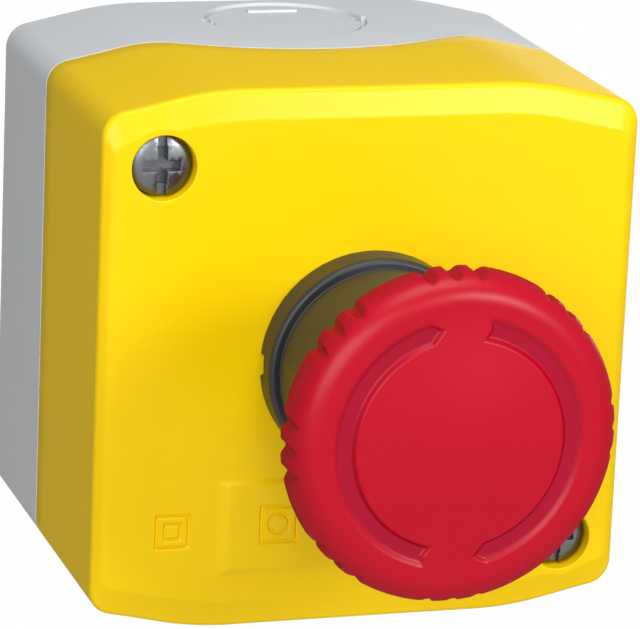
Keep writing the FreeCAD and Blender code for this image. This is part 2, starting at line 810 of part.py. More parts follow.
def mushroom_cap():
    """Red cap: domed face with two sunk arrows, rounded shoulder, notched rim, flared skirt over the collar,
    and the shank that fits over the sleeve."""
    rim = cap_diameter / 2
    face = rim - cap_shoulder
    back = cap_plane - cap_shoulder - cap_rim
    skirt_in = collar_diameter / 2 + cap_skirt_play
    skirt_out = skirt_in + cap_skirt_wall
    skirt_end = back - cap_skirt_length
    slant = cap_shoulder * math.sin(math.radians(45))
    shoulder = Part.Arc(V(rim, 0, cap_plane - cap_shoulder),
                        V(face + slant, 0, cap_plane - cap_shoulder + slant), V(face, 0, cap_plane)).toShape()
    bow = (face ** 2 + cap_dome ** 2) / (2 * cap_dome)
    half_way = math.asin(face / bow) / 2
    dome = Part.Arc(V(face, 0, cap_plane),
                    V(bow * math.sin(half_way), 0, cap_plane + cap_dome - bow * (1 - math.cos(half_way))),
                    V(0, 0, cap_plane + cap_dome)).toShape()
    flare_start = skirt_end + cap_skirt_end
    flare = Part.Arc(V(skirt_out, 0, flare_start),
                     V(skirt_out + (rim - cap_edge - skirt_out) * cap_flare_across, 0,
                       back - cap_skirt_length * cap_flare_back),
                     V(rim - cap_edge, 0, back)).toShape()
    lines = [V(0, 0, cap_plane + cap_dome), V(0, 0, cap_inside), V(skirt_in, 0, cap_inside),
             V(skirt_in, 0, skirt_end), V(skirt_out, 0, skirt_end), V(skirt_out, 0, flare_start)]
    edges = Part.makePolygon(lines).Edges
    rim_edges = Part.makePolygon([V(rim - cap_edge, 0, back), V(rim, 0, back + cap_edge),
                                  V(rim, 0, cap_plane - cap_shoulder)]).Edges
    outline = Part.Wire(edges + [flare] + rim_edges + [shoulder, dome])
    solid = Part.Face(outline).revolve(V(0, 0, 0), forward, 360)
    shank = tube(cap_boss, cap_boss_bore, hub_front + cap_boss_gap, cap_inside + 0.5)
    stop = tube(cap_boss, clip_diameter + 2, cam_front + spring_gap, cap_inside + 0.5)
    solid = solid.multiFuse([shank, stop])
    cuts = [turn_arrow(tail, tip) for tail, tip in zip(arrow_tails, arrow_tips)]
    for group in range(grip_groups):
        for notch in range(grip_notches):
            clock = grip_turn + 360 / grip_groups * group + grip_pitch * (notch - (grip_notches - 1) / 2)
            cuts.append(grip_notch(clock))
    return solid.cut(cuts[0].multiFuse(cuts[1:]))


# Contact blocks, drawn with the block's own middle on X = 0 and then moved to its place

def floor_depth():
    return back_wall + block_wall


def carrier_bottom():
    return floor_depth() + carrier_foot


def bridge_bottom():
    return back_wall + bridge_height


def strip_bottom():
    return bridge_bottom() + bridge_thickness + tip_height


def block_housing():
    """Moulded block: spring and contact chamber, and an open terminal pocket at each end."""
    top = back_wall + block_body
    solid = block(block_width, block_height, back_wall, top)
    inside = block_width - 2 * block_wall
    solid = solid.cut(block(inside, chamber_height, floor_depth(), top + 1))
    pocket_low = strip_bottom()
    for side in (-1, 1):
        far = block_height / 2 + 1
        near = chamber_height / 2 - 0.5
        pocket = block(inside, far - near, pocket_low, top + 1, 0, side * (far + near) / 2)
        hole = rod(terminal_screw + 2 * thread_gap, pocket_low - terminal_reach, pocket_low + 1,
                   0, side * terminal_y)
        solid = solid.cut(pocket.fuse(hole))
    return solid


def block_cover():
    """Lid of the block, with the carrier's guide hole and two driver holes."""
    bottom = back_wall + block_body
    plate = block(block_width, block_height, bottom, block_top)
    holes = [block(carrier_width + 2 * carrier_play, carrier_depth + 2 * carrier_play,
                   bottom - 1, block_top + 1)]
    for side in (-1, 1):
        holes.append(rod(driver_hole, bottom - 1, block_top + 1, 0, side * terminal_y))
    return plate.cut(holes[0].multiFuse(holes[1:]))


def contact_carrier():
    """Plunger that the stem's foot pushes, with the window that the bridge floats in."""
    bar = block(carrier_width, carrier_depth, carrier_bottom(), carrier_tip)
    flange_top = back_wall + block_body - carrier_flange_gap
    flange = block(carrier_flange_width, carrier_flange_depth, flange_top - carrier_flange, flange_top)
    window_low = carrier_bottom() + carrier_flange
    window_top = bridge_bottom() + bridge_thickness + bridge_play
    window = block(bridge_width + 2 * bridge_play, carrier_depth + 2, window_low, window_top)
    return bar.fuse(flange).cut(window)


def contact_bridge():
    """Moving contact: a strip with a silver tip near each end, facing the fixed contacts."""
    low = bridge_bottom()
    strip = block(bridge_width, bridge_length, low, low + bridge_thickness)
    tips = [rod(tip_diameter, low + bridge_thickness / 2, low + bridge_thickness + tip_height,
                0, side * (bridge_length / 2 - tip_inset)) for side in (-1, 1)]
    return strip.multiFuse(tips)


def contact_spring():
    """Small coil that holds the bridge against the carrier's window."""
    low = carrier_bottom() + carrier_flange + spring_gap
    return coil_spring(contact_wire, contact_coil, contact_turns, low, bridge_bottom() - spring_gap)


def block_spring():
    """Coil that pushes the carrier out."""
    return coil_spring(block_wire, block_coil, block_turns, floor_depth() + spring_gap,
                       carrier_bottom() - spring_gap)


def fixed_contacts():
    """The two fixed contact strips, each from over the bridge's tip to its terminal."""
    strips = []
    low = strip_bottom()
    for side in (-1, 1):
        length = strip_outer - strip_inner
        strip = block(strip_width, length, low, low + strip_thickness,
                      0, side * (strip_outer + strip_inner) / 2)
        hole = rod(terminal_screw + 2 * terminal_hole_play, low - 1, low + 2, 0, side * terminal_y)
        strips.append(strip.cut(hole))
    return Part.makeCompound(strips)


def terminal_clamps():
    """Clamping plates under the terminal screws' heads."""
    plates = []
    low = strip_bottom() + strip_thickness
    for side in (-1, 1):
        plate = block(clamp_size, clamp_size, low, low + clamp_thickness, 0, side * terminal_y)
        hole = rod(terminal_screw + 2 * terminal_hole_play, low - 1, low + 2, 0, side * terminal_y)
        plates.append(plate.cut(hole))
    return Part.makeCompound(plates)


def terminal_screws():
    """Slotted terminal screws."""
    screws = []
    seat = strip_bottom() + strip_thickness + clamp_thickness
    tip = strip_bottom() - terminal_reach + spring_gap
    for side in (-1, 1):
        y = side * terminal_y
        screw = rod(terminal_head, seat, seat + terminal_head_height, 0, y)
        screw = screw.fuse(rod(terminal_screw, tip, seat, 0, y))
        slot = block(slot_width, terminal_head + 1, seat + terminal_head_height - slot_depth / 2,
                     seat + terminal_head_height + 1, 0, y)
        screws.append(screw.cut(slot))
    return Part.makeCompound(screws)


# All pieces, by node name

pieces = {
    "base": base,
    "lid": lid,
    "lid_gasket": lid_gasket,
    "lid_screws": lid_screws,
    "lid_screw_washers": lid_screw_washers,
    "head_body": head_body,
    "head_gasket": head_gasket,
    "head_nut": head_nut,
    "wiper_seal": wiper_seal,
    "stem": stem,
    "release_cam": release_cam,
    "stem_clip": stem_clip,
    "pawl_spring": pawl_spring,
    "return_spring": return_spring,
    "twist_spring": twist_spring,
    "mushroom_cap": mushroom_cap,
}
block_pieces = {
    "block_housing": block_housing,
    "block_cover": block_cover,
    "contact_carrier": contact_carrier,
    "contact_bridge": contact_bridge,
    "contact_spring": contact_spring,
    "block_spring": block_spring,
    "fixed_contacts": fixed_contacts,
    "terminal_clamps": terminal_clamps,
    "terminal_screws": terminal_screws,
}


def build():
    """Every piece in the front view's own frame."""
    shapes = {name: make() for name, make in pieces.items()}
    for name, side in (("left", -1), ("right", 1)):
        shapes[name + "_pawl"] = pawl(side)
        for piece, make in block_pieces.items():
            shape = make()
            shape.translate(V(side * block_pitch / 2, 0, 0))
            shapes[name + "_" + piece] = shape
    return shapes


def stand_up(shape):
    """Turns a piece from the front view's frame to the part's own: Y up becomes Z up, forward becomes -Y."""
    shape.rotate(V(0, 0, 0), right, 90)
    return shape


os.makedirs("parts", exist_ok=True)
for name, shape in build().items():
    stand_up(shape).exportStep("parts/" + name + ".step")
    print(name, len(shape.Solids), shape.isValid(), round(shape.Volume, 1))
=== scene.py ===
import bpy
import bmesh
import json
import math
import numpy as np
from mathutils import Matrix, Vector
from mathutils.geometry import delaunay_2d_cdt


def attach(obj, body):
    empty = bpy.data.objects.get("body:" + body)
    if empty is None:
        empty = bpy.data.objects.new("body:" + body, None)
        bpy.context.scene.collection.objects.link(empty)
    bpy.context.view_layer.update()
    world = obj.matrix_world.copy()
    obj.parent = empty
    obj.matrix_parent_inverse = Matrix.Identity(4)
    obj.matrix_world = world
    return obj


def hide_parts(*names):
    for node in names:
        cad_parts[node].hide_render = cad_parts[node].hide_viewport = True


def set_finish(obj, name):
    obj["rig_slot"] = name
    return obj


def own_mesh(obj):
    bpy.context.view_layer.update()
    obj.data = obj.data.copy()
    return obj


# Emergency stop station. Lengths below are millimetres, colours are sRGB hex.
# depth means millimetres forward from the back mounting face, so the world's Y is minus depth.

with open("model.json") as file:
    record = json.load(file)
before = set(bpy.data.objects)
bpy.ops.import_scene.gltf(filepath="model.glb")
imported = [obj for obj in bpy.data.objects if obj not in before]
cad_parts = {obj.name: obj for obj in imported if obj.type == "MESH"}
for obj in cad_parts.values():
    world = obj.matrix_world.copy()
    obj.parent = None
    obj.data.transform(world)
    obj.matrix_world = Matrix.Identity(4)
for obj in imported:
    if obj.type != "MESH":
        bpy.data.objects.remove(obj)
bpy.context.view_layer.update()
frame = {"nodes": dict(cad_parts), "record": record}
print("frame loaded")


# the camera looks a little down on the station from its left

cameraSetup = {
    "place": (-151.85, -510.03, 140.77),
    "turn": 17.657,       # degrees to the right of straight ahead
    "dip": 15.703,        # degrees below level
    "roll": -2.491,
    "lens": 230.59,
    "sensor": 36.0,
    "nearest": 50.0,
    "farthest": 20000.0,
}


def addCamera(setup):
    data = bpy.data.cameras.new("stationCamera")
    data.lens = setup["lens"]
    data.sensor_width = setup["sensor"]
    data.clip_start = setup["nearest"] / 1000
    data.clip_end = setup["farthest"] / 1000
    camera = bpy.data.objects.new("stationCamera", data)
    bpy.context.scene.collection.objects.link(camera)
    turn, dip = math.radians(setup["turn"]), math.radians(setup["dip"])
    ahead = Vector((math.sin(turn) * math.cos(dip), math.cos(turn) * math.cos(dip), -math.sin(dip)))
    camera.rotation_mode = "QUATERNION"
    roll = Matrix.Rotation(math.radians(setup["roll"]), 3, ahead)
    camera.rotation_quaternion = (roll @ ahead.to_track_quat("-Z", "Y").to_matrix()).to_quaternion()
    camera.location = Vector(setup["place"]) / 1000
    bpy.context.scene.camera = camera


addCamera(cameraSetup)
print("camera placed")


def linear(hexColour, alpha=1.0):
    # sRGB hex to the linear values that the shaders take
    channels = np.array([int(hexColour[i:i + 2], 16) / 255 for i in (1, 3, 5)])
    low = channels / 12.92
    high = ((channels + 0.055) / 1.055) ** 2.4
    return (*np.where(channels <= 0.04045, low, high).tolist(), alpha)


def addNode(tree, kind, feeds=None, **settings):
    # one node with its settings; feeds maps an input to a value or to another node's output
    node = tree.nodes.new(kind)
    for key, value in settings.items():
        setattr(node, key, value)
    for key, value in (feeds or {}).items():
        if isinstance(value, bpy.types.NodeSocket):
            tree.links.new(value, node.inputs[key])
        else:
            node.inputs[key].default_value = value
    return node


def softStep(value):
    # rises from 0 to 1 with level ends
    value = np.clip(value, 0, 1)
    return value * value * (3 - 2 * value)


def newShell():
    return {"points": [], "faces": [], "count": 0}


def addLoops(shell, loops):
    # loops is a grid of points (loop, step round, xyz) whose loops close; quads join neighbouring loops
    rows, columns = loops.shape[:2]
    numbers = np.arange(rows * columns).reshape(rows, columns) + shell["count"]
    ahead = np.roll(numbers, -1, axis=1)
    quads = np.stack([numbers[:-1], ahead[:-1], ahead[1:], numbers[1:]], axis=-1)
    shell["points"].append(loops.reshape(-1, 3))
    shell["faces"] += quads.reshape(-1, 4).tolist()
    shell["count"] += rows * columns
    return numbers


def insideLoop(points, loop):
    # counts for every point the edges of the loop that a line from it to the right crosses; odd is inside
    start, end = loop[None], np.roll(loop, -1, axis=0)[None]
    x, z = points[:, None, 0], points[:, None, 1]
    spans = (start[..., 1] > z) != (end[..., 1] > z)
    rise = np.where(spans, end[..., 1] - start[..., 1], 1)
    crossing = start[..., 0] + (z - start[..., 1]) / rise * (end[..., 0] - start[..., 0])
    return np.sum(spans & (crossing > x), axis=1) % 2 == 1


def fillFlat(shell, loops):
    # triangles over the flat area inside the first loop and outside the others; a loop is a row of point numbers
    points = np.concatenate(shell["points"])
    numbers = np.concatenate(loops)
    flat = [Vector((float(points[n, 0]), float(points[n, 2]))) for n in numbers]
    starts = np.cumsum([0] + [len(loop) for loop in loops[:-1]])
    edges = [(int(start + i), int(start + (i + 1) % len(loop)))
             for start, loop in zip(starts, loops) for i in range(len(loop))]
    found = delaunay_2d_cdt(flat, edges, [], 0, 1e-6)
    origin = np.array([numbers[sources[0]] for sources in found[3]])
    faces = origin[np.array(found[2])]
    middles = points[faces][..., [0, 2]].mean(axis=1)
    keep = insideLoop(middles, points[loops[0]][:, [0, 2]])
    for loop in loops[1:]:
        keep &= ~insideLoop(middles, points[loop][:, [0, 2]])
    shell["faces"] += faces[keep].tolist()


def meshPiece(name, shell, body, slot, stands):
    # a smooth closed mesh in metres from a shell in millimetres, riding on its body in place of the CAD nodes
    mesh = bpy.data.meshes.new(name)
    mesh.from_pydata((np.concatenate(shell["points"]) / 1000).tolist(), [], shell["faces"])
    tidy = bmesh.new()
    tidy.from_mesh(mesh)
    bmesh.ops.remove_doubles(tidy, verts=tidy.verts, dist=1e-6)
    bmesh.ops.dissolve_degenerate(tidy, edges=tidy.edges, dist=1e-7)
    bmesh.ops.recalc_face_normals(tidy, faces=tidy.faces)
    tidy.to_mesh(mesh)
    tidy.free()
    mesh.validate()
    mesh.shade_smooth()
    piece = bpy.data.objects.new(name, mesh)
    bpy.context.scene.collection.objects.link(piece)
    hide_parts(*stands)
    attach(piece, body)
    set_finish(piece, slot)
    return piece


def roundedRing(corners, radii, arcSteps, straightSteps, sink=0.0):
    # a closed ring, counterclockwise: at each corner an arc that touches both sides, then a straight stretch to
    # the next arc, each cut into its own number of steps; sink bows the straight stretches inwards a little
    corners = np.asarray(corners, float)
    radii = np.asarray(radii, float)
    ahead = np.roll(corners, -1, axis=0) - corners
    ahead /= np.linalg.norm(ahead, axis=1)[:, None]
    before = np.roll(ahead, 1, axis=0)
    turn = np.arctan2(before[:, 0] * ahead[:, 1] - before[:, 1] * ahead[:, 0], np.sum(before * ahead, axis=1))
    reach = (radii * np.tan(turn / 2))[:, None]
    start = corners - before * reach
    end = corners + ahead * reach
    inward = np.stack([-before[:, 1], before[:, 0]], axis=1)
    following = np.roll(start, -1, axis=0)
    pieces = []
    for i, radius in enumerate(radii):
        angle = np.linspace(0, turn[i], arcSteps[i] + 1)[:, None]
        centre = start[i] + inward[i] * radius
        pieces.append(centre + radius * (before[i] * np.sin(angle) - inward[i] * np.cos(angle)))
        share = (np.arange(1, straightSteps[i]) / straightSteps[i])[:, None]
        side = np.array([-ahead[i, 1], ahead[i, 0]])
        pieces.append(end[i] + (following[i] - end[i]) * share + side * sink * 4 * share * (1 - share))
    return np.concatenate(pieces)


def atDepth(ring, depth):
    # a ring of (x, z) at one depth, or at a depth for each of its points
    return np.stack([ring[:, 0], -np.broadcast_to(depth, len(ring)), ring[:, 1]], axis=-1)


def circleRing(radius, centre=(0, 0), steps=72):
    angle = np.arange(steps) * 2 * math.pi / steps
    return np.stack([centre[0] + radius * np.cos(angle), centre[1] + radius * np.sin(angle)], axis=-1)


def circleLoops(rows, centre=(0, 0), steps=72):
    # rows of (radius, depth), all round one centre
    return np.stack([atDepth(circleRing(radius, centre, steps), depth) for radius, depth in rows])


# case outline, shared by everything that follows the moulded box

caseShape = {
    "half": 34.0,
    "shoulderWidth": 13.5,
    "shoulderDrop": 3.0,
    "shoulderRadius": 40.0,
    "cornerRadius": 3.2,
    "parting": 23.0,
    "tongueWidth": 42.0,
    "tongueRise": 7.4,
    "tongueBlend": 8.0,
    "sink": 0.02,                       # a moulding's flat walls sink in by about this much
    "arcSteps": [12] * 8,
    "straightSteps": [10, 8, 36, 8] * 2,    # side, slope, top or bottom, slope
}


def caseRing(inset, level, shape):
    # the case's outline, moved in by inset at its sides and by level at its top, bottom and four slopes
    slope = math.atan2(shape["shoulderDrop"], shape["shoulderWidth"])
    side, top = shape["half"] - inset, shape["half"] - level
    reach = (shape["half"] * math.sin(slope) + (shape["half"] - shape["shoulderDrop"]) * math.cos(slope)) - level
    bend = (reach - top * math.cos(slope)) / math.sin(slope)
    corner = (reach - side * math.sin(slope)) / math.cos(slope)
    small, large = max(shape["cornerRadius"] - inset, 0.5), shape["shoulderRadius"] - level
    corners = [(side, -corner), (side, corner), (bend, top), (-bend, top),
               (-side, corner), (-side, -corner), (-bend, -top), (bend, -top)]
    radii = [small, small, large, large] * 2
    return roundedRing(corners, radii, shape["arcSteps"], shape["straightSteps"], shape["sink"])


def edgeDepth(x, grow, shape):
    # where box and cover meet: level at the sides, and in the middle of the top and bottom an arc forward that a
    # smaller arc leads into on each side, all moved forward by grow
    rise, blend = shape["tongueRise"], shape["tongueBlend"]
    radius = ((shape["tongueWidth"] / 2) ** 2 + rise ** 2) / (2 * rise)
    middle = shape["parting"] + rise - radius
    blendDepth = shape["parting"] + blend
    blendX = math.sqrt((radius + blend) ** 2 - (blendDepth - middle) ** 2)
    joint = (radius + grow) * blendX / (radius + blend)
    x = np.abs(x)
    arc = middle + np.sqrt(np.maximum((radius + grow) ** 2 - x ** 2, 0))
    lead = blendDepth - np.sqrt(np.maximum((blend - grow) ** 2 - (blendX - x) ** 2, 0))
    return np.where(x < joint, arc, np.where(x < blendX, lead, shape["parting"] + grow))


# front cover

coverShape = {
    "front": 53.0,
    "inside": 50.4,
    "wall": 2.4,
    "gap": 0.2,
    "edgeRound": 0.25,
    "bevelDrop": 1.1,
    "bevelSide": 1.3,
    "bevelTop": 3.6,
    "lowRound": (1.0, 0.8),      # where the walls turn into the sloped band: at the sides, at the top and bottom
    "highRound": (1.8, 1.4),     # and where that turns into the face
    "hold": 0.15,                # flat strip kept beside each rounded edge
    "screws": ((-26.5, 24.8), (26.5, -24.8)),
    "wellRadius": 4.0,
    "wellSeat": 49.2,
    "wellLip": 0.2,
    "wellClear": 4.36,           # the sloped band narrows to stay this far from a screw's axis
    "shankRadius": 2.25,
    "postRadius": 3.6,
    "postEnd": 30.2,
    "bossRadius": 4.9,
    "bossEnd": 47.4,
    "headHole": 11.15,
}

markShape = {
    "deep": 0.35,
    "line": 0.45,
    "doubleSquare": (-24.0, -21.0),
    "outerSquare": 4.5,
    "innerSquare": 2.4,
    "labelFoot": (18.4, -27.05, -14.75),    # half width, lower and upper edge
    "labelBevels": (1.4, 1.0, 0.5),         # at its sides, lower and upper edge
    "labelRise": 0.5,
    "emblem": (-10.6, -20.5),
    "emblemSquare": 5.0,
    "emblemRing": 3.0,
}


def squareRing(half, centre):
    x, z = centre
    corners = [(x + half, z - half), (x + half, z + half), (x - half, z + half), (x - half, z - half)]
    return roundedRing(corners, [0.14] * 4, [3] * 4, [1] * 4)


def grooveRows(outer, line, surface, deep):
    # (size, depth) across a groove with rounded lips and a rounded floor, from outside its outer edge inwards
    across = np.array([-0.22, -0.07, -0.01, 0.05, 0.11, 0.17, line / 2])
    down = np.array([0, 0, 0.04, 0.16, 0.29, 0.34, deep])
    rows = [(outer - a, surface - d) for a, d in zip(across, down)]
    return rows + [(outer - line + a, surface - d) for a, d in zip(across[-2::-1], down[-2::-1])]


def labelRing(share, mark):
    # from the label place's foot (share 0) to the edge of its flat top (share 1)
    half, low, high = mark["labelFoot"]
    atSide, atLow, atHigh = mark["labelBevels"]
    half, low, high = half - atSide * share, low + atLow * share, high - atHigh * share
    corners = [(half, low), (half, high), (-half, high), (-half, low)]
    return roundedRing(corners, [0.45 - 0.2 * share] * 4, [4] * 4, [1] * 4)


def labelLoops(mark, surface):
    # the height over the shares is a straight slope, led into by a wide soft curve at the foot and a small one
    # at the top
    shares = np.array([-0.5, -0.3, -0.2, -0.1, 0, 0.1, 0.2, 0.3, 0.88, 0.94, 0.97, 1, 1.03, 1.06, 1.25])
    soft, crisp = 0.3, 0.06
    foot = np.clip(shares + soft, 0, 2 * soft) ** 2 / (4 * soft) + np.clip(shares - soft, 0, None)
    over = np.clip(shares - 1 + crisp, 0, 2 * crisp) ** 2 / (4 * crisp) + np.clip(shares - 1 - crisp, 0, None)
    heights = mark["labelRise"] * (foot - over)
    return np.stack([atDepth(labelRing(share, mark), surface + height) for share, height in zip(shares, heights)])


def bandShare(start, step, width, shape):
    # the share of its width that the sloped band keeps beside a screw's well: each column's line is cut where it
    # meets a circle round the screw, and the shares are averaged over their neighbours
    share = np.ones(len(width))
    for centre in shape["screws"]:
        away = start - np.array(centre)
        line = step / width[:, None]
        a, b = np.sum(line * line, axis=1), np.sum(line * away, axis=1)
        c = np.sum(away * away, axis=1) - shape["wellClear"] ** 2
        under = b * b - a * c
        reach = np.where(under > 0, (-b - np.sqrt(np.maximum(under, 0))) / a, 99)
        reach = np.where(reach > 0, reach, 99)
        share = np.minimum(share, (reach - shape["hold"] - 0.35) / width)
    return np.minimum(share, (np.roll(share, 1) + share + np.roll(share, -1)) / 3)


def coverSkin(shape, case):
    # the wall's rows from the inside plane round the parting edge to the face: each column runs from the outline
    # at the wall to its partner on the face, and its profile rounds both corners of the sloped band by arcs
    wall, grow = shape["wall"], shape["gap"]
    rim = shape["edgeRound"]
    loops = []
    for inset, rise in ((wall, None), (wall, 0.2), (wall - 0.2, 0), (rim, 0), (0.3 * rim, 0.3 * rim)):
        ring = caseRing(inset, inset, case)
        depth = shape["inside"] if rise is None else edgeDepth(ring[:, 0], grow, case) + rise
        loops.append(atDepth(ring, depth))
    start = caseRing(0, 0, case)
    step = caseRing(shape["bevelSide"], shape["bevelTop"], case) - start
    along = np.roll(start, -1, axis=0) - np.roll(start, 1, axis=0)
    normal = np.stack([along[:, 1], -along[:, 0]], axis=1) / np.linalg.norm(along, axis=1)[:, None]
    upright = softStep(np.abs(normal[:, 1]) / math.cos(math.atan2(case["shoulderDrop"], case["shoulderWidth"])))
    width = -np.sum(step * normal, axis=1)
    share = bandShare(start, step, width, shape)
    step, width = step * share[:, None], width * share
    lean = np.arctan2(width, shape["bevelDrop"])
    low = shape["lowRound"][0] + (shape["lowRound"][1] - shape["lowRound"][0]) * upright
    high = shape["highRound"][0] + (shape["highRound"][1] - shape["highRound"][0]) * upright
    lowReach, highReach = low * np.tan(lean / 2), high * np.tan((math.pi / 2 - lean) / 2)
    corner, front = shape["front"] - shape["bevelDrop"], shape["front"]
    band = np.hypot(width, shape["bevelDrop"])
    straight = band - lowReach - highReach
    hold = np.minimum(0.2, 0.3 * straight)
    profile = []
    edge = edgeDepth(start[:, 0], grow, case) + rim
    for share in np.linspace(0, 1, 9):
        profile.append((0 * width, edge + (corner - lowReach - shape["hold"] - edge) * share))
    for turn in np.linspace(0, 1, 8):
        profile.append((low * (1 - np.cos(lean * turn)), corner - lowReach + low * np.sin(lean * turn)))
    for place in (lowReach + hold, band - highReach - hold):
        profile.append((place * np.sin(lean), corner + place * np.cos(lean)))
    for turn in np.linspace(0, 1, 8):
        angle = lean + (math.pi / 2 - lean) * turn
        profile.append((width + highReach - high * np.cos(angle), front - high + high * np.sin(angle)))
    profile.append((width + highReach + shape["hold"], front + 0 * width))
    for across, depth in profile:
        loops.append(atDepth(start + step * (across / width)[:, None], depth))
    return np.stack(loops)


def makeFrontCover(shape, mark, case):
    shell = newShell()
    skin = addLoops(shell, coverSkin(shape, case))
    front, inside = shape["front"], shape["inside"]
    faceHoles, backHoles = [], []

    hole = shape["headHole"]
    rows = [(hole + 0.6, front), (hole + 0.2, front), (hole + 0.06, front - 0.06), (hole, front - 0.2),
            (hole, inside + 0.2), (hole + 0.06, inside + 0.06), (hole + 0.2, inside), (hole + 0.6, inside)]
    numbers = addLoops(shell, circleLoops(rows, steps=96))
    faceHoles.append(numbers[0])
    backHoles.append(numbers[-1])

    well, lip, seat = shape["wellRadius"], shape["wellLip"], shape["wellSeat"]
    angles = np.linspace(0, math.pi / 2, 6)
    lipRows = [(well + lip - lip * math.sin(a), front - lip + lip * math.cos(a)) for a in angles]
    post, boss, shank = shape["postRadius"], shape["bossRadius"], shape["shankRadius"]
    rows = [(well + lip + 0.1, front), *lipRows, (well, front - lip - 0.2), (well, seat + 0.25),
            (well - 0.07, seat + 0.07), (well - 0.25, seat), (shank + 0.2, seat), (shank, seat - 0.2),
            (shank, shape["postEnd"] + 0.2), (shank + 0.2, shape["postEnd"]), (post - 0.2, shape["postEnd"]),
            (post, shape["postEnd"] + 0.2), (post, shape["bossEnd"] - 0.2), (post + 0.2, shape["bossEnd"]),
            (boss - 0.2, shape["bossEnd"]), (boss, shape["bossEnd"] + 0.2), (boss, inside)]
    for centre in shape["screws"]:
        numbers = addLoops(shell, circleLoops(rows, centre))
        faceHoles.append(numbers[0])
        backHoles.append(numbers[-1])

    centre = mark["doubleSquare"]
    rows = (grooveRows(mark["outerSquare"] / 2, mark["line"], front, mark["deep"])
            + grooveRows(mark["innerSquare"] / 2, mark["line"], front, mark["deep"]))
    numbers = addLoops(shell, np.stack([atDepth(squareRing(half, centre), depth) for half, depth in rows]))
    faceHoles.append(numbers[0])
    fillFlat(shell, [numbers[-1]])

    numbers = addLoops(shell, labelLoops(mark, front))
    faceHoles.append(numbers[0])
    top, labelTop = front + mark["labelRise"], numbers[-1]
    centre = mark["emblem"]
    rows = grooveRows(mark["emblemSquare"] / 2, mark["line"], top, mark["deep"])
    square = addLoops(shell, np.stack([atDepth(squareRing(half, centre), depth) for half, depth in rows]))
    rows = grooveRows(mark["emblemRing"] / 2, mark["line"], top, mark["deep"])
    ring = addLoops(shell, circleLoops(rows, centre, 48))
    fillFlat(shell, [labelTop, square[0]])
    fillFlat(shell, [square[-1], ring[0]])
    fillFlat(shell, [ring[-1]])

    fillFlat(shell, [skin[-1], *faceHoles])
    fillFlat(shell, [skin[0], *backHoles])
    return meshPiece("frontCover", shell, "station", "yellow_plastic", ["lid"])


cover = makeFrontCover(coverShape, markShape, caseShape)
print("front cover made,", len(cover.data.polygons), "faces")


def turnedPoints(radius, depth, clock):
    # radius and depth are grids (profile step, clock step); the clock runs clockwise from 12 as seen from the front
    return np.stack([radius * np.sin(clock), -depth, radius * np.cos(clock)], axis=-1)


def sampledPath(corners, rounds, step):
    # an open path through corners, each rounded by its own radius with a circular arc, sampled at about one step
    corners = np.array(corners, float)
    out = [corners[0]]
    for i in range(1, len(corners) - 1):
        here, before, after = corners[i], corners[i - 1], corners[i + 1]
        a = (before - here) / np.linalg.norm(before - here)
        b = (after - here) / np.linalg.norm(after - here)
        half = math.acos(float(np.clip(a @ b, -1, 1))) / 2
        if rounds[i] <= 0 or half > math.radians(89.5):
            out.append(here)
            continue
        room = 0.49 * min(np.linalg.norm(before - here), np.linalg.norm(after - here))
        reach = min(rounds[i] / math.tan(half), room)
        radius = reach * math.tan(half)
        centre = here + (a + b) / np.linalg.norm(a + b) * radius / math.sin(half)
        start, end = here + a * reach, here + b * reach
        sweep = math.pi - 2 * half
        share = np.linspace(0, 1, max(4, int(math.ceil(radius * sweep / step)) + 1))[:, None]
        arc = np.sin((1 - share) * sweep) * (start - centre) + np.sin(share * sweep) * (end - centre)
        out.extend(list(centre + arc / math.sin(sweep)))
    out.append(corners[-1])
    dense = [out[0]]
    for point in out[1:]:
        gap = np.linalg.norm(point - dense[-1])
        if gap < 1e-6:
            continue
        count = max(1, int(math.ceil(gap / (4 * step))))
        previous = dense[-1]
        dense.extend([previous + (point - previous) * k / count for k in range(1, count + 1)])
    return np.array(dense)


# mushroom cap

capShape = {
    "faceDepth": 87.9,      # plane of the face's edge
    "dome": 1.5,
    "rim": 20.0,
    "shoulder": 3.5,
    "rimLength": 1.8,
    "edge": 0.6,
    "skirtIn": 13.5,
    "skirtOut": 15.0,
    "skirtLength": 6.2,
    "underside": ((16.9, 1.3), (15.1, 3.2)),    # radius and distance behind the rim of the cone that meets the skirt
    "inside": 85.1,
    "bossOuter": 9.2,
    "bossBore": 7.5,
    "bossBack": 67.0,
    "arrowOuter": 15.4,
    "arrowInner": 12.4,
    "arrowFloor": 0.35,     # behind that plane
    "arrowSpans": ((10.0, 172.0), (192.5, 351.0)),
    "arrowPoint": 8.0,
    "arrowNotch": 2.5,
    "wallOuter": 1.0,       # width of the arrows' sloped outer wall
    "wallInner": 0.6,
    "arrowShadeEdge": 16.4,      # the painted shade, a darker colour on the arrows' floors, ends at this radius
    "arrowShadeStart": 0.2,       # and starts this far behind the face's edge plane
    "gripGroups": 8,
    "gripDepth": 0.8,
    "gripWidth": 2.2,
    "gripPitch": 9.0,
    "gripTurn": -2.0,
    "clockSteps": 552,
}


def arrowShare(radius, clock, shape):
    # 1 on the sunk arrows' floor and 0 outside them, falling across each wall's own width
    outer, inner = shape["arrowOuter"], shape["arrowInner"]
    middle, half = (outer + inner) / 2, (outer - inner) / 2
    across = np.abs(radius - middle)
    band = np.minimum(softStep((outer - radius) / shape["wallOuter"]),
                      softStep((radius - inner) / shape["wallInner"]))
    along = math.radians(middle)
    slant = half / (shape["arrowPoint"] * along)
    best = np.zeros(radius.shape)
    for tail, tip in shape["arrowSpans"]:
        angle = np.mod(clock - tail + 60, 360) - 60 + tail
        fromTail = (angle - tail - shape["arrowNotch"] * (1 - across / half)) * along
        fromPoint = ((tip - angle) * along * slant - across) / math.hypot(1, slant)
        ends = softStep(np.minimum(fromTail, fromPoint) / shape["wallInner"])
        best = np.maximum(best, np.minimum(band, ends))
    return best


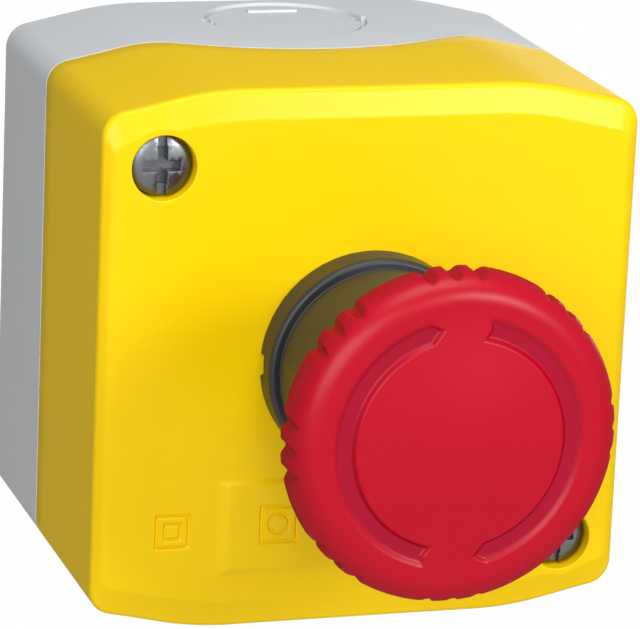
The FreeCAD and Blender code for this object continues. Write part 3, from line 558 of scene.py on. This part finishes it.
def makeMushroomCap(shape):
    # the profile is turned round Y: the face bows forward by the dome's height times (1 - (r / edge)^2)^2, so it is
    # level where the shoulder starts; it sinks inside each arrow's outline, and the rim's radius is held down to
    # a V wherever one of a group's three notches passes
    plane = shape["faceDepth"]
    face = shape["rim"] - shape["shoulder"]
    back = plane - shape["shoulder"] - shape["rimLength"]
    skirtEnd = back - shape["skirtLength"]
    # rows lie close together where the arrows' walls pass
    faceRadius = np.concatenate([np.linspace(0.02, 11.8, 16), np.arange(12.0, 15.9, 0.12),
                                 np.linspace(16.1, face, 4)])
    faceDepth = plane + shape["dome"] * (1 - (faceRadius / face) ** 2) ** 2
    turn = np.linspace(0, math.pi / 2, 19)[1:]
    shoulder = np.stack([face + shape["shoulder"] * np.sin(turn),
                         plane - shape["shoulder"] + shape["shoulder"] * np.cos(turn)], axis=1)
    inside, boss, bore = shape["inside"], shape["bossOuter"], shape["bossBore"]
    (coneOut, coneStart), (coneIn, coneEnd) = shape["underside"]
    rest = sampledPath(
        [(shape["rim"], plane - shape["shoulder"]), (shape["rim"], back), (coneOut, back - coneStart),
         (coneIn, back - coneEnd), (shape["skirtOut"], skirtEnd), (shape["skirtIn"], skirtEnd),
         (shape["skirtIn"], inside), (boss, inside), (boss, shape["bossBack"]), (bore, shape["bossBack"]),
         (bore, inside - 0.2), (0.02, inside - 0.2)],
        [0, shape["edge"], 2.5, 2.5, 0.4, 0.3, 0.6, 0.6, 0.3, 0.3, 0.4, 0], 0.25)
    profile = np.concatenate([np.stack([faceRadius, faceDepth], axis=1), shoulder, rest[1:]])
    clock = np.arange(shape["clockSteps"]) * 360 / shape["clockSteps"]
    radius = np.repeat(profile[:, :1], len(clock), axis=1)
    depth = np.repeat(profile[:, 1:], len(clock), axis=1)
    clockGrid = np.repeat(clock[None, :], len(profile), axis=0)
    onFace = np.arange(len(profile))[:, None] < len(faceRadius)
    sunk = np.where(onFace, arrowShare(radius, clockGrid, shape), 0)
    depth = depth + (plane - shape["arrowFloor"] - depth) * sunk
    nearest = np.full(clock.shape, 1e9)
    for group in range(shape["gripGroups"]):
        for notch in (-1, 0, 1):
            middle = shape["gripTurn"] + 360 / shape["gripGroups"] * group + shape["gripPitch"] * notch
            off = np.abs(np.mod(clock - middle + 180, 360) - 180)
            nearest = np.minimum(nearest, np.radians(off) * shape["rim"])
    # a V with a slightly rounded floor and rounded lips
    fall = np.sqrt((nearest / (shape["gripWidth"] / 2)) ** 2 + 0.012)
    limit = shape["rim"] - shape["gripDepth"] * softStep(1.06 - fall)
    outside = (profile[:, 0] > 16.0)[:, None]
    radius = np.where(outside, np.minimum(radius, limit[None, :]), radius)
    shell = newShell()
    numbers = addLoops(shell, turnedPoints(radius, depth, np.radians(clockGrid)))
    for row in (0, -1):
        shell["points"].append(np.array([[0, -depth[row, 0], 0]]))
        ahead = np.roll(numbers[row], -1)
        shell["faces"] += [[int(a), int(b), shell["count"]] for a, b in zip(numbers[row], ahead)]
        shell["count"] += 1
    return meshPiece("mushroomCap", shell, "button", "red_plastic", ["mushroom_cap"])


cap = makeMushroomCap(capShape)
print("mushroom cap made,", len(cap.data.polygons), "faces")


# head body: bezel, groove, collar and threaded bush

headShape = {
    "lidFront": 53.05,
    "bush": 10.95,
    "bushEnd": 31.0,
    "bezel": 13.8,
    "bezelFront": 57.5,
    "grooveDepth": 0.5,
    "grooveWidth": 0.9,
    "grooveSlope": 0.3,
    "collar": 12.9,
    "collarFront": 79.5,
    "bore": 11.3,
    "boreFloor": 72.0,
    "guide": 8.6,
    "notchClock": 270,      # at 9 o'clock
    "notchWidth": 2.6,
    "notchDepth": 0.5,
    "notchHeight": 1.6,
    "clockSteps": 480,
}


def makeHeadBody(shape):
    # the profile is turned round Y; the bezel's radius steps in at the notch beside the cover
    front, low, neck = shape["bezelFront"], shape["lidFront"], shape["collar"] - shape["grooveDepth"]
    guide, bush, bore = shape["guide"], shape["bush"], shape["bore"]
    profile = sampledPath(
        [(guide, shape["bushEnd"]), (bush, shape["bushEnd"]), (bush, low), (shape["bezel"], low),
         (shape["bezel"], low + shape["notchHeight"]), (shape["bezel"], front), (neck, front),
         (neck, front + shape["grooveWidth"]), (shape["collar"], front + shape["grooveWidth"] + shape["grooveSlope"]),
         (shape["collar"], shape["collarFront"]), (bore, shape["collarFront"]), (bore, shape["boreFloor"]),
         (guide, shape["boreFloor"] - 1.5), (guide, shape["bushEnd"] + 0.01)],
        [0, 0.5, 0, 0.15, 0, 0.7, 0.2, 0.15, 0.25, 0.5, 0.3, 0.3, 0.3, 0], 0.16)
    clock = np.arange(shape["clockSteps"]) * 360 / shape["clockSteps"]
    radius = np.repeat(profile[:, :1], len(clock), axis=1)
    depth = np.repeat(profile[:, 1:], len(clock), axis=1)
    off = np.abs(np.radians(np.mod(clock - shape["notchClock"] + 180, 360) - 180)) * shape["bezel"]
    inNotch = softStep((shape["notchWidth"] / 2 - off) / 0.12 + 0.5)[None, :]
    near = softStep((low + shape["notchHeight"] - depth) / 0.25 + 0.5)
    reachIn = np.minimum(radius, shape["bezel"] - shape["notchDepth"])
    radius = np.where(radius > bush + 1.5, radius + (reachIn - radius) * inNotch * near, radius)
    grid = turnedPoints(radius, depth, np.radians(np.repeat(clock[None, :], len(profile), axis=0)))
    grid[-1] = grid[0]
    shell = newShell()
    addLoops(shell, grid)
    return meshPiece("headBody", shell, "station", "black_plastic", ["head_body"])


head = makeHeadBody(headShape)
print("head body made,", len(head.data.polygons), "faces")


# rear box and cover screws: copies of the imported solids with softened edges

softenedPieces = {
    "base": {"piece": "rearBox", "slot": "grey_plastic", "round": 0.25, "segments": 3},
    "lid_screws": {"piece": "coverScrews", "slot": "zinc_plated_steel", "round": 0.12, "segments": 2},
}

softening = {
    "merge": 0.002,
    "flatWithin": 0.05,     # degrees between triangles that are joined as one flat face
    "sharpFrom": 24,        # degrees between faces whose edge is rounded
    "flatWeight": 100,      # wide flat faces keep one shade up to their edges
}


def softenedCopy(node, choice, way):
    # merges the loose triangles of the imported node, joins the flat ones, and rounds its sharp edges
    work = bmesh.new()
    work.from_mesh(frame["nodes"][node].data)
    bmesh.ops.remove_doubles(work, verts=work.verts, dist=way["merge"] / 1000)
    bmesh.ops.dissolve_limit(work, angle_limit=math.radians(way["flatWithin"]), verts=work.verts, edges=work.edges)
    mesh = bpy.data.meshes.new(choice["piece"])
    work.to_mesh(mesh)
    work.free()
    piece = bpy.data.objects.new(choice["piece"], mesh)
    bpy.context.scene.collection.objects.link(piece)
    mesh.shade_smooth()
    bevel = piece.modifiers.new("roundedEdges", "BEVEL")
    bevel.width = choice["round"] / 1000
    bevel.segments = choice["segments"]
    bevel.limit_method = "ANGLE"
    bevel.angle_limit = math.radians(way["sharpFrom"])
    bevel.use_clamp_overlap = True
    bevel.miter_outer = "MITER_ARC"
    evened = piece.modifiers.new("evenFlats", "WEIGHTED_NORMAL")
    evened.mode = "FACE_AREA"
    evened.weight = way["flatWeight"]
    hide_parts(node)
    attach(piece, "station")
    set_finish(piece, choice["slot"])
    return piece


softened = [softenedCopy(node, choice, softening) for node, choice in softenedPieces.items()]
print("rear box and screws softened")


# springs: seat is the depth of the fixed end, travel what the joint takes from it

workingSprings = {
    "return_spring": {"piece": "returnSpring", "joint": "push", "seat": 39.9, "travel": 4.5},
    "left_block_spring": {"piece": "leftBlockSpring", "joint": "left_contact_slide", "seat": 4.0, "travel": 4.5},
    "right_block_spring": {"piece": "rightBlockSpring", "joint": "right_contact_slide", "seat": 4.0, "travel": 4.5},
}


def squashedSpring(node, choice):
    # a copy of the imported coil in place of the node
    piece = bpy.data.objects.new(choice["piece"], frame["nodes"][node].data.copy())
    bpy.context.scene.collection.objects.link(piece)
    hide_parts(node)
    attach(piece, "station")
    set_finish(piece, "spring_steel")
    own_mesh(piece)
    return piece


springs = [squashedSpring(node, choice) for node, choice in workingSprings.items()]
print("springs ready,", len(springs))


# A plastic's own gloss turns pale at a slant, more than the real case does. On the case and the cap a weak coat with
# a high index stands in for it: skin is its weight, and it shines much the same from the front and at a slant.

finishes = {
    # polycarbonate from a fine spark-eroded mould: even, satin, with a faint pebble and slight sheen changes
    "yellow_plastic": {"name": "mouldedYellowPolycarbonate", "colour": "#FFD600", "shade": "#FCD000",
                       "roughness": 0.31, "spread": 0.03, "ior": 1.5, "specular": 0.0, "skin": 0.1,
                       "grain": 0.55, "bump": 0.03},
    "grey_plastic": {"name": "mouldedGreyPolycarbonate", "colour": "#E1E4E7", "shade": "#DCDFE3",
                     "roughness": 0.4, "spread": 0.05, "ior": 1.5, "specular": 0.0, "skin": 0.08,
                     "grain": 0.55, "bump": 0.04},
    # glossy polyamide, slightly clouded by handling; floor is painted shade, a darker colour for the sunk arrows'
    # floors
    "red_plastic": {"name": "mouldedRedPolyamide", "colour": "#BA0022", "shade": "#B20020", "floor": "#A40028",
                    "roughness": 0.33, "spread": 0.04, "ior": 1.53, "specular": 0.0, "skin": 0.1,
                    "grain": 0.6, "bump": 0.03},
    "black_plastic": {"name": "mouldedBlackPolyamide", "colour": "#1B1D20", "shade": "#23262A",
                      "roughness": 0.42, "spread": 0.06, "ior": 1.53, "specular": 0.42, "skin": 0.0,
                      "grain": 0.5, "bump": 0.04},
    "white_plastic": {"name": "mouldedWhiteAcetal", "colour": "#E4E4DE", "shade": "#DAD9D0",
                      "roughness": 0.38, "spread": 0.05, "ior": 1.48, "specular": 0.5, "skin": 0.0,
                      "grain": 0.5, "bump": 0.03},
    "block_plastic": {"name": "mouldedDarkPolyamide", "colour": "#3A3D40", "shade": "#303336",
                      "roughness": 0.5, "spread": 0.08, "ior": 1.53, "specular": 0.5, "skin": 0.0,
                      "grain": 0.5, "bump": 0.08},
    # nitrile rubber, dull and slightly dusty
    "seal_rubber": {"name": "mouldedNitrileRubber", "colour": "#1A1A1B", "shade": "#242425",
                    "roughness": 0.78, "spread": 0.08, "ior": 1.52, "specular": 0.5, "skin": 0.0,
                    "grain": 0.4, "bump": 0.1},
}

plasticSkin = {
    "mottle": 9.0,          # size of the slow changes of tone and sheen
    "pebbleHeight": 0.2,
    "coatIndex": 2.5,
}

metals = {
    # turned and zinc plated: grey with fine marks of the tool
    "zinc_plated_steel": {"name": "zincPlatedTurnedSteel", "colour": "#7E8185", "dark": "#63666A",
                          "roughness": 0.32, "spread": 0.06, "mark": 0.35, "bump": 0.05},
    "spring_steel": {"name": "drawnSpringSteel", "colour": "#A7A9AD", "dark": "#7C7E82",
                     "roughness": 0.28, "spread": 0.1, "mark": 0.3, "bump": 0.04},
    "brass": {"name": "stampedBrassStrip", "colour": "#D7B25C", "dark": "#A5823A",
              "roughness": 0.3, "spread": 0.12, "mark": 0.4, "bump": 0.05},
}


markHeight = 0.1


def newMaterial(name):
    material = bpy.data.materials.new(name)
    material.use_nodes = True
    tree = material.node_tree
    tree.nodes.clear()
    output = addNode(tree, "ShaderNodeOutputMaterial")
    return material, tree, output


def arrowShadeMask(tree, place, shape):
    # 1 where the arrows' floors get painted shade: nearer the axis than their outer edge and behind the face's edge
    # plane
    axes = addNode(tree, "ShaderNodeSeparateXYZ", {"Vector": place})
    flat = addNode(tree, "ShaderNodeCombineXYZ", {"X": axes.outputs["X"], "Z": axes.outputs["Z"]})
    away = addNode(tree, "ShaderNodeVectorMath", {0: flat.outputs[0]}, operation="LENGTH")
    edge, start = shape["arrowShadeEdge"] / 1000, -(shape["faceDepth"] - shape["arrowShadeStart"]) / 1000
    near = addNode(tree, "ShaderNodeMath", {0: away.outputs["Value"], 1: edge}, operation="LESS_THAN")
    behind = addNode(tree, "ShaderNodeMath", {0: axes.outputs["Y"], 1: start}, operation="GREATER_THAN")
    both = addNode(tree, "ShaderNodeMath", {0: near.outputs[0], 1: behind.outputs[0]}, operation="MULTIPLY")
    return both.outputs[0]


def sheenAround(tree, pattern, finish):
    # the roughness, moved up and down by the spread where the pattern is high and low
    middle, spread = finish["roughness"], finish["spread"]
    return addNode(tree, "ShaderNodeMapRange", {"Value": pattern, "From Min": 0.3, "From Max": 0.7,
                                                "To Min": middle - spread, "To Max": middle + spread}).outputs[0]


def mouldedFinish(finish, skin):
    # a slow mottle shifts colour and sheen, and a pebble of the grain's size in millimetres lifts the surface
    material, tree, output = newMaterial(finish["name"])
    place = addNode(tree, "ShaderNodeTexCoord").outputs["Object"]
    mottle = addNode(tree, "ShaderNodeTexNoise", {"Vector": place, "Scale": 1000 / skin["mottle"], "Detail": 3.0,
                                                  "Roughness": 0.55})
    pebble = addNode(tree, "ShaderNodeTexNoise", {"Vector": place, "Scale": 1000 / finish["grain"], "Detail": 2.0})
    colour = addNode(tree, "ShaderNodeMix", {"Factor": mottle.outputs["Fac"]}, data_type="RGBA")
    colour.inputs[6].default_value = linear(finish["colour"])
    colour.inputs[7].default_value = linear(finish["shade"])
    lifted = addNode(tree, "ShaderNodeBump", {"Height": pebble.outputs["Fac"], "Strength": finish["bump"],
                                              "Distance": skin["pebbleHeight"] / 1000}).outputs[0]
    paint = colour.outputs[2]
    # painted shade: the sunk arrows' floors are mixed towards a darker colour
    if "floor" in finish:
        arrowShadeMix = addNode(tree, "ShaderNodeMix", {"Factor": arrowShadeMask(tree, place, capShape)}, data_type="RGBA")
        tree.links.new(paint, arrowShadeMix.inputs[6])
        arrowShadeMix.inputs[7].default_value = linear(finish["floor"])
        paint = arrowShadeMix.outputs[2]
    plastic = addNode(tree, "ShaderNodeBsdfPrincipled", {
        "Base Color": paint, "Roughness": sheenAround(tree, mottle.outputs["Fac"], finish), "IOR": finish["ior"],
        "Specular IOR Level": finish["specular"], "Coat Weight": finish["skin"], "Coat IOR": skin["coatIndex"],
        "Coat Roughness": finish["roughness"], "Coat Normal": lifted, "Normal": lifted})
    tree.links.new(plastic.outputs[0], output.inputs["Surface"])
    return material


def metalFinish(finish):
    # tool marks of the given size in millimetres change sheen and tone
    material, tree, output = newMaterial(finish["name"])
    place = addNode(tree, "ShaderNodeTexCoord").outputs["Object"]
    marks = addNode(tree, "ShaderNodeTexNoise", {"Vector": place, "Scale": 1000 / finish["mark"], "Detail": 4.0})
    colour = addNode(tree, "ShaderNodeMix", {"Factor": marks.outputs["Fac"]}, data_type="RGBA")
    colour.inputs[6].default_value = linear(finish["colour"])
    colour.inputs[7].default_value = linear(finish["dark"])
    lifted = addNode(tree, "ShaderNodeBump", {"Height": marks.outputs["Fac"], "Strength": finish["bump"],
                                              "Distance": markHeight / 1000}).outputs[0]
    metal = addNode(tree, "ShaderNodeBsdfPrincipled", {
        "Base Color": colour.outputs[2], "Roughness": sheenAround(tree, marks.outputs["Fac"], finish),
        "Metallic": 1.0, "Normal": lifted})
    tree.links.new(metal.outputs[0], output.inputs["Surface"])
    return material


materials = {slot: mouldedFinish(finish, plasticSkin) for slot, finish in finishes.items()}
materials.update({slot: metalFinish(finish) for slot, finish in metals.items()})

nodeSlots = {part["node"]: part["material_slot"] for part in frame["record"]["subparts"]}
for node, thing in frame["nodes"].items():
    thing.data.materials.clear()
    thing.data.materials.append(materials[nodeSlots[node]])
for piece in (cover, cap, head, *softened, *springs):
    piece.data.materials.clear()
    piece.data.materials.append(materials[piece["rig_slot"]])
print("materials assigned")


# the studio: a pale floor, a pale world and five softboxes

studio = {
    "floorHeight": -150.0,
    "floorReach": 4000.0,
    "floorColour": "#DADAD8",
    "worldStrength": 0.12,
}


def seenDirectly(tree):
    # 1 for rays of the camera and for those that gloss or glass passes on, 0 for the light that falls on things
    path = addNode(tree, "ShaderNodeLightPath")
    gloss, glass = path.outputs["Is Glossy Ray"], path.outputs["Is Transmission Ray"]
    passed = addNode(tree, "ShaderNodeMath", {0: gloss, 1: glass}, operation="MAXIMUM").outputs[0]
    seen = addNode(tree, "ShaderNodeMath", {0: path.outputs["Is Camera Ray"], 1: passed}, operation="MAXIMUM")
    return seen.outputs[0]


def addFloor(setup):
    material, tree, output = newMaterial("paleFloor")
    paint = addNode(tree, "ShaderNodeBsdfDiffuse", {"Color": linear(setup["floorColour"])})
    white = addNode(tree, "ShaderNodeEmission", {"Color": (1, 1, 1, 1), "Strength": 1.0})
    both = addNode(tree, "ShaderNodeMixShader", {0: seenDirectly(tree), 1: paint.outputs[0], 2: white.outputs[0]})
    tree.links.new(both.outputs[0], output.inputs["Surface"])
    mesh = bpy.data.meshes.new("studioFloor")
    height, reach = setup["floorHeight"] / 1000, setup["floorReach"] / 1000
    corners = [(-reach, -reach, height), (reach, -reach, height), (reach, reach, height), (-reach, reach, height)]
    mesh.from_pydata(corners, [], [(0, 1, 2, 3)])
    mesh.materials.append(material)
    floor = bpy.data.objects.new("studioFloor", mesh)
    bpy.context.scene.collection.objects.link(floor)


def addWorld(setup):
    world = bpy.data.worlds.new("studioWorld")
    bpy.context.scene.world = world
    world.use_nodes = True
    tree = world.node_tree
    tree.nodes.clear()
    output = addNode(tree, "ShaderNodeOutputWorld")
    strength = addNode(tree, "ShaderNodeMapRange", {"Value": seenDirectly(tree), "To Min": setup["worldStrength"],
                                                    "To Max": 1.0})
    sky = addNode(tree, "ShaderNodeBackground", {"Color": (1, 1, 1, 1), "Strength": strength.outputs[0]})
    tree.links.new(sky.outputs[0], output.inputs["Surface"])


softboxes = {
    # seen from the middle of the cover's face: degrees to the right of straight ahead and above level, distance,
    # width and height, and the share of a colour's full brightness that it gives a surface facing it
    "keySoftbox": {"turn": 28, "rise": 18, "distance": 420, "size": (110, 110), "share": 0.30},
    "frontSoftbox": {"turn": -27, "rise": 17, "distance": 1300, "size": (900, 600), "share": 0.55},
    "topSoftbox": {"turn": 4, "rise": 68, "distance": 300, "size": (200, 160), "share": 0.52},
    "rearSoftbox": {"turn": 145, "rise": 0, "distance": 1500, "size": (1000, 200), "share": 0.3},
    "glintSoftbox": {"turn": 20, "rise": 22, "distance": 420, "size": (110, 50), "share": 0.10},
}


def addSoftbox(name, box):
    data = bpy.data.lights.new(name, "AREA")
    data.shape = "RECTANGLE"
    data.size, data.size_y = (side / 1000 for side in box["size"])
    data.energy = box["share"] * math.pi ** 2 * (box["distance"] / 1000) ** 2
    light = bpy.data.objects.new(name, data)
    bpy.context.scene.collection.objects.link(light)
    turn, rise = math.radians(box["turn"]), math.radians(box["rise"])
    out = Vector((math.sin(turn) * math.cos(rise), -math.cos(turn) * math.cos(rise), math.sin(rise)))
    light.location = (Vector((0, -coverShape["front"], 0)) + out * box["distance"]) / 1000
    light.rotation_mode = "QUATERNION"
    light.rotation_quaternion = (-out).to_track_quat("-Z", "Y")


addFloor(studio)
addWorld(studio)
for name, box in softboxes.items():
    addSoftbox(name, box)
bpy.context.scene.view_settings.view_transform = "Standard"
print("studio ready")
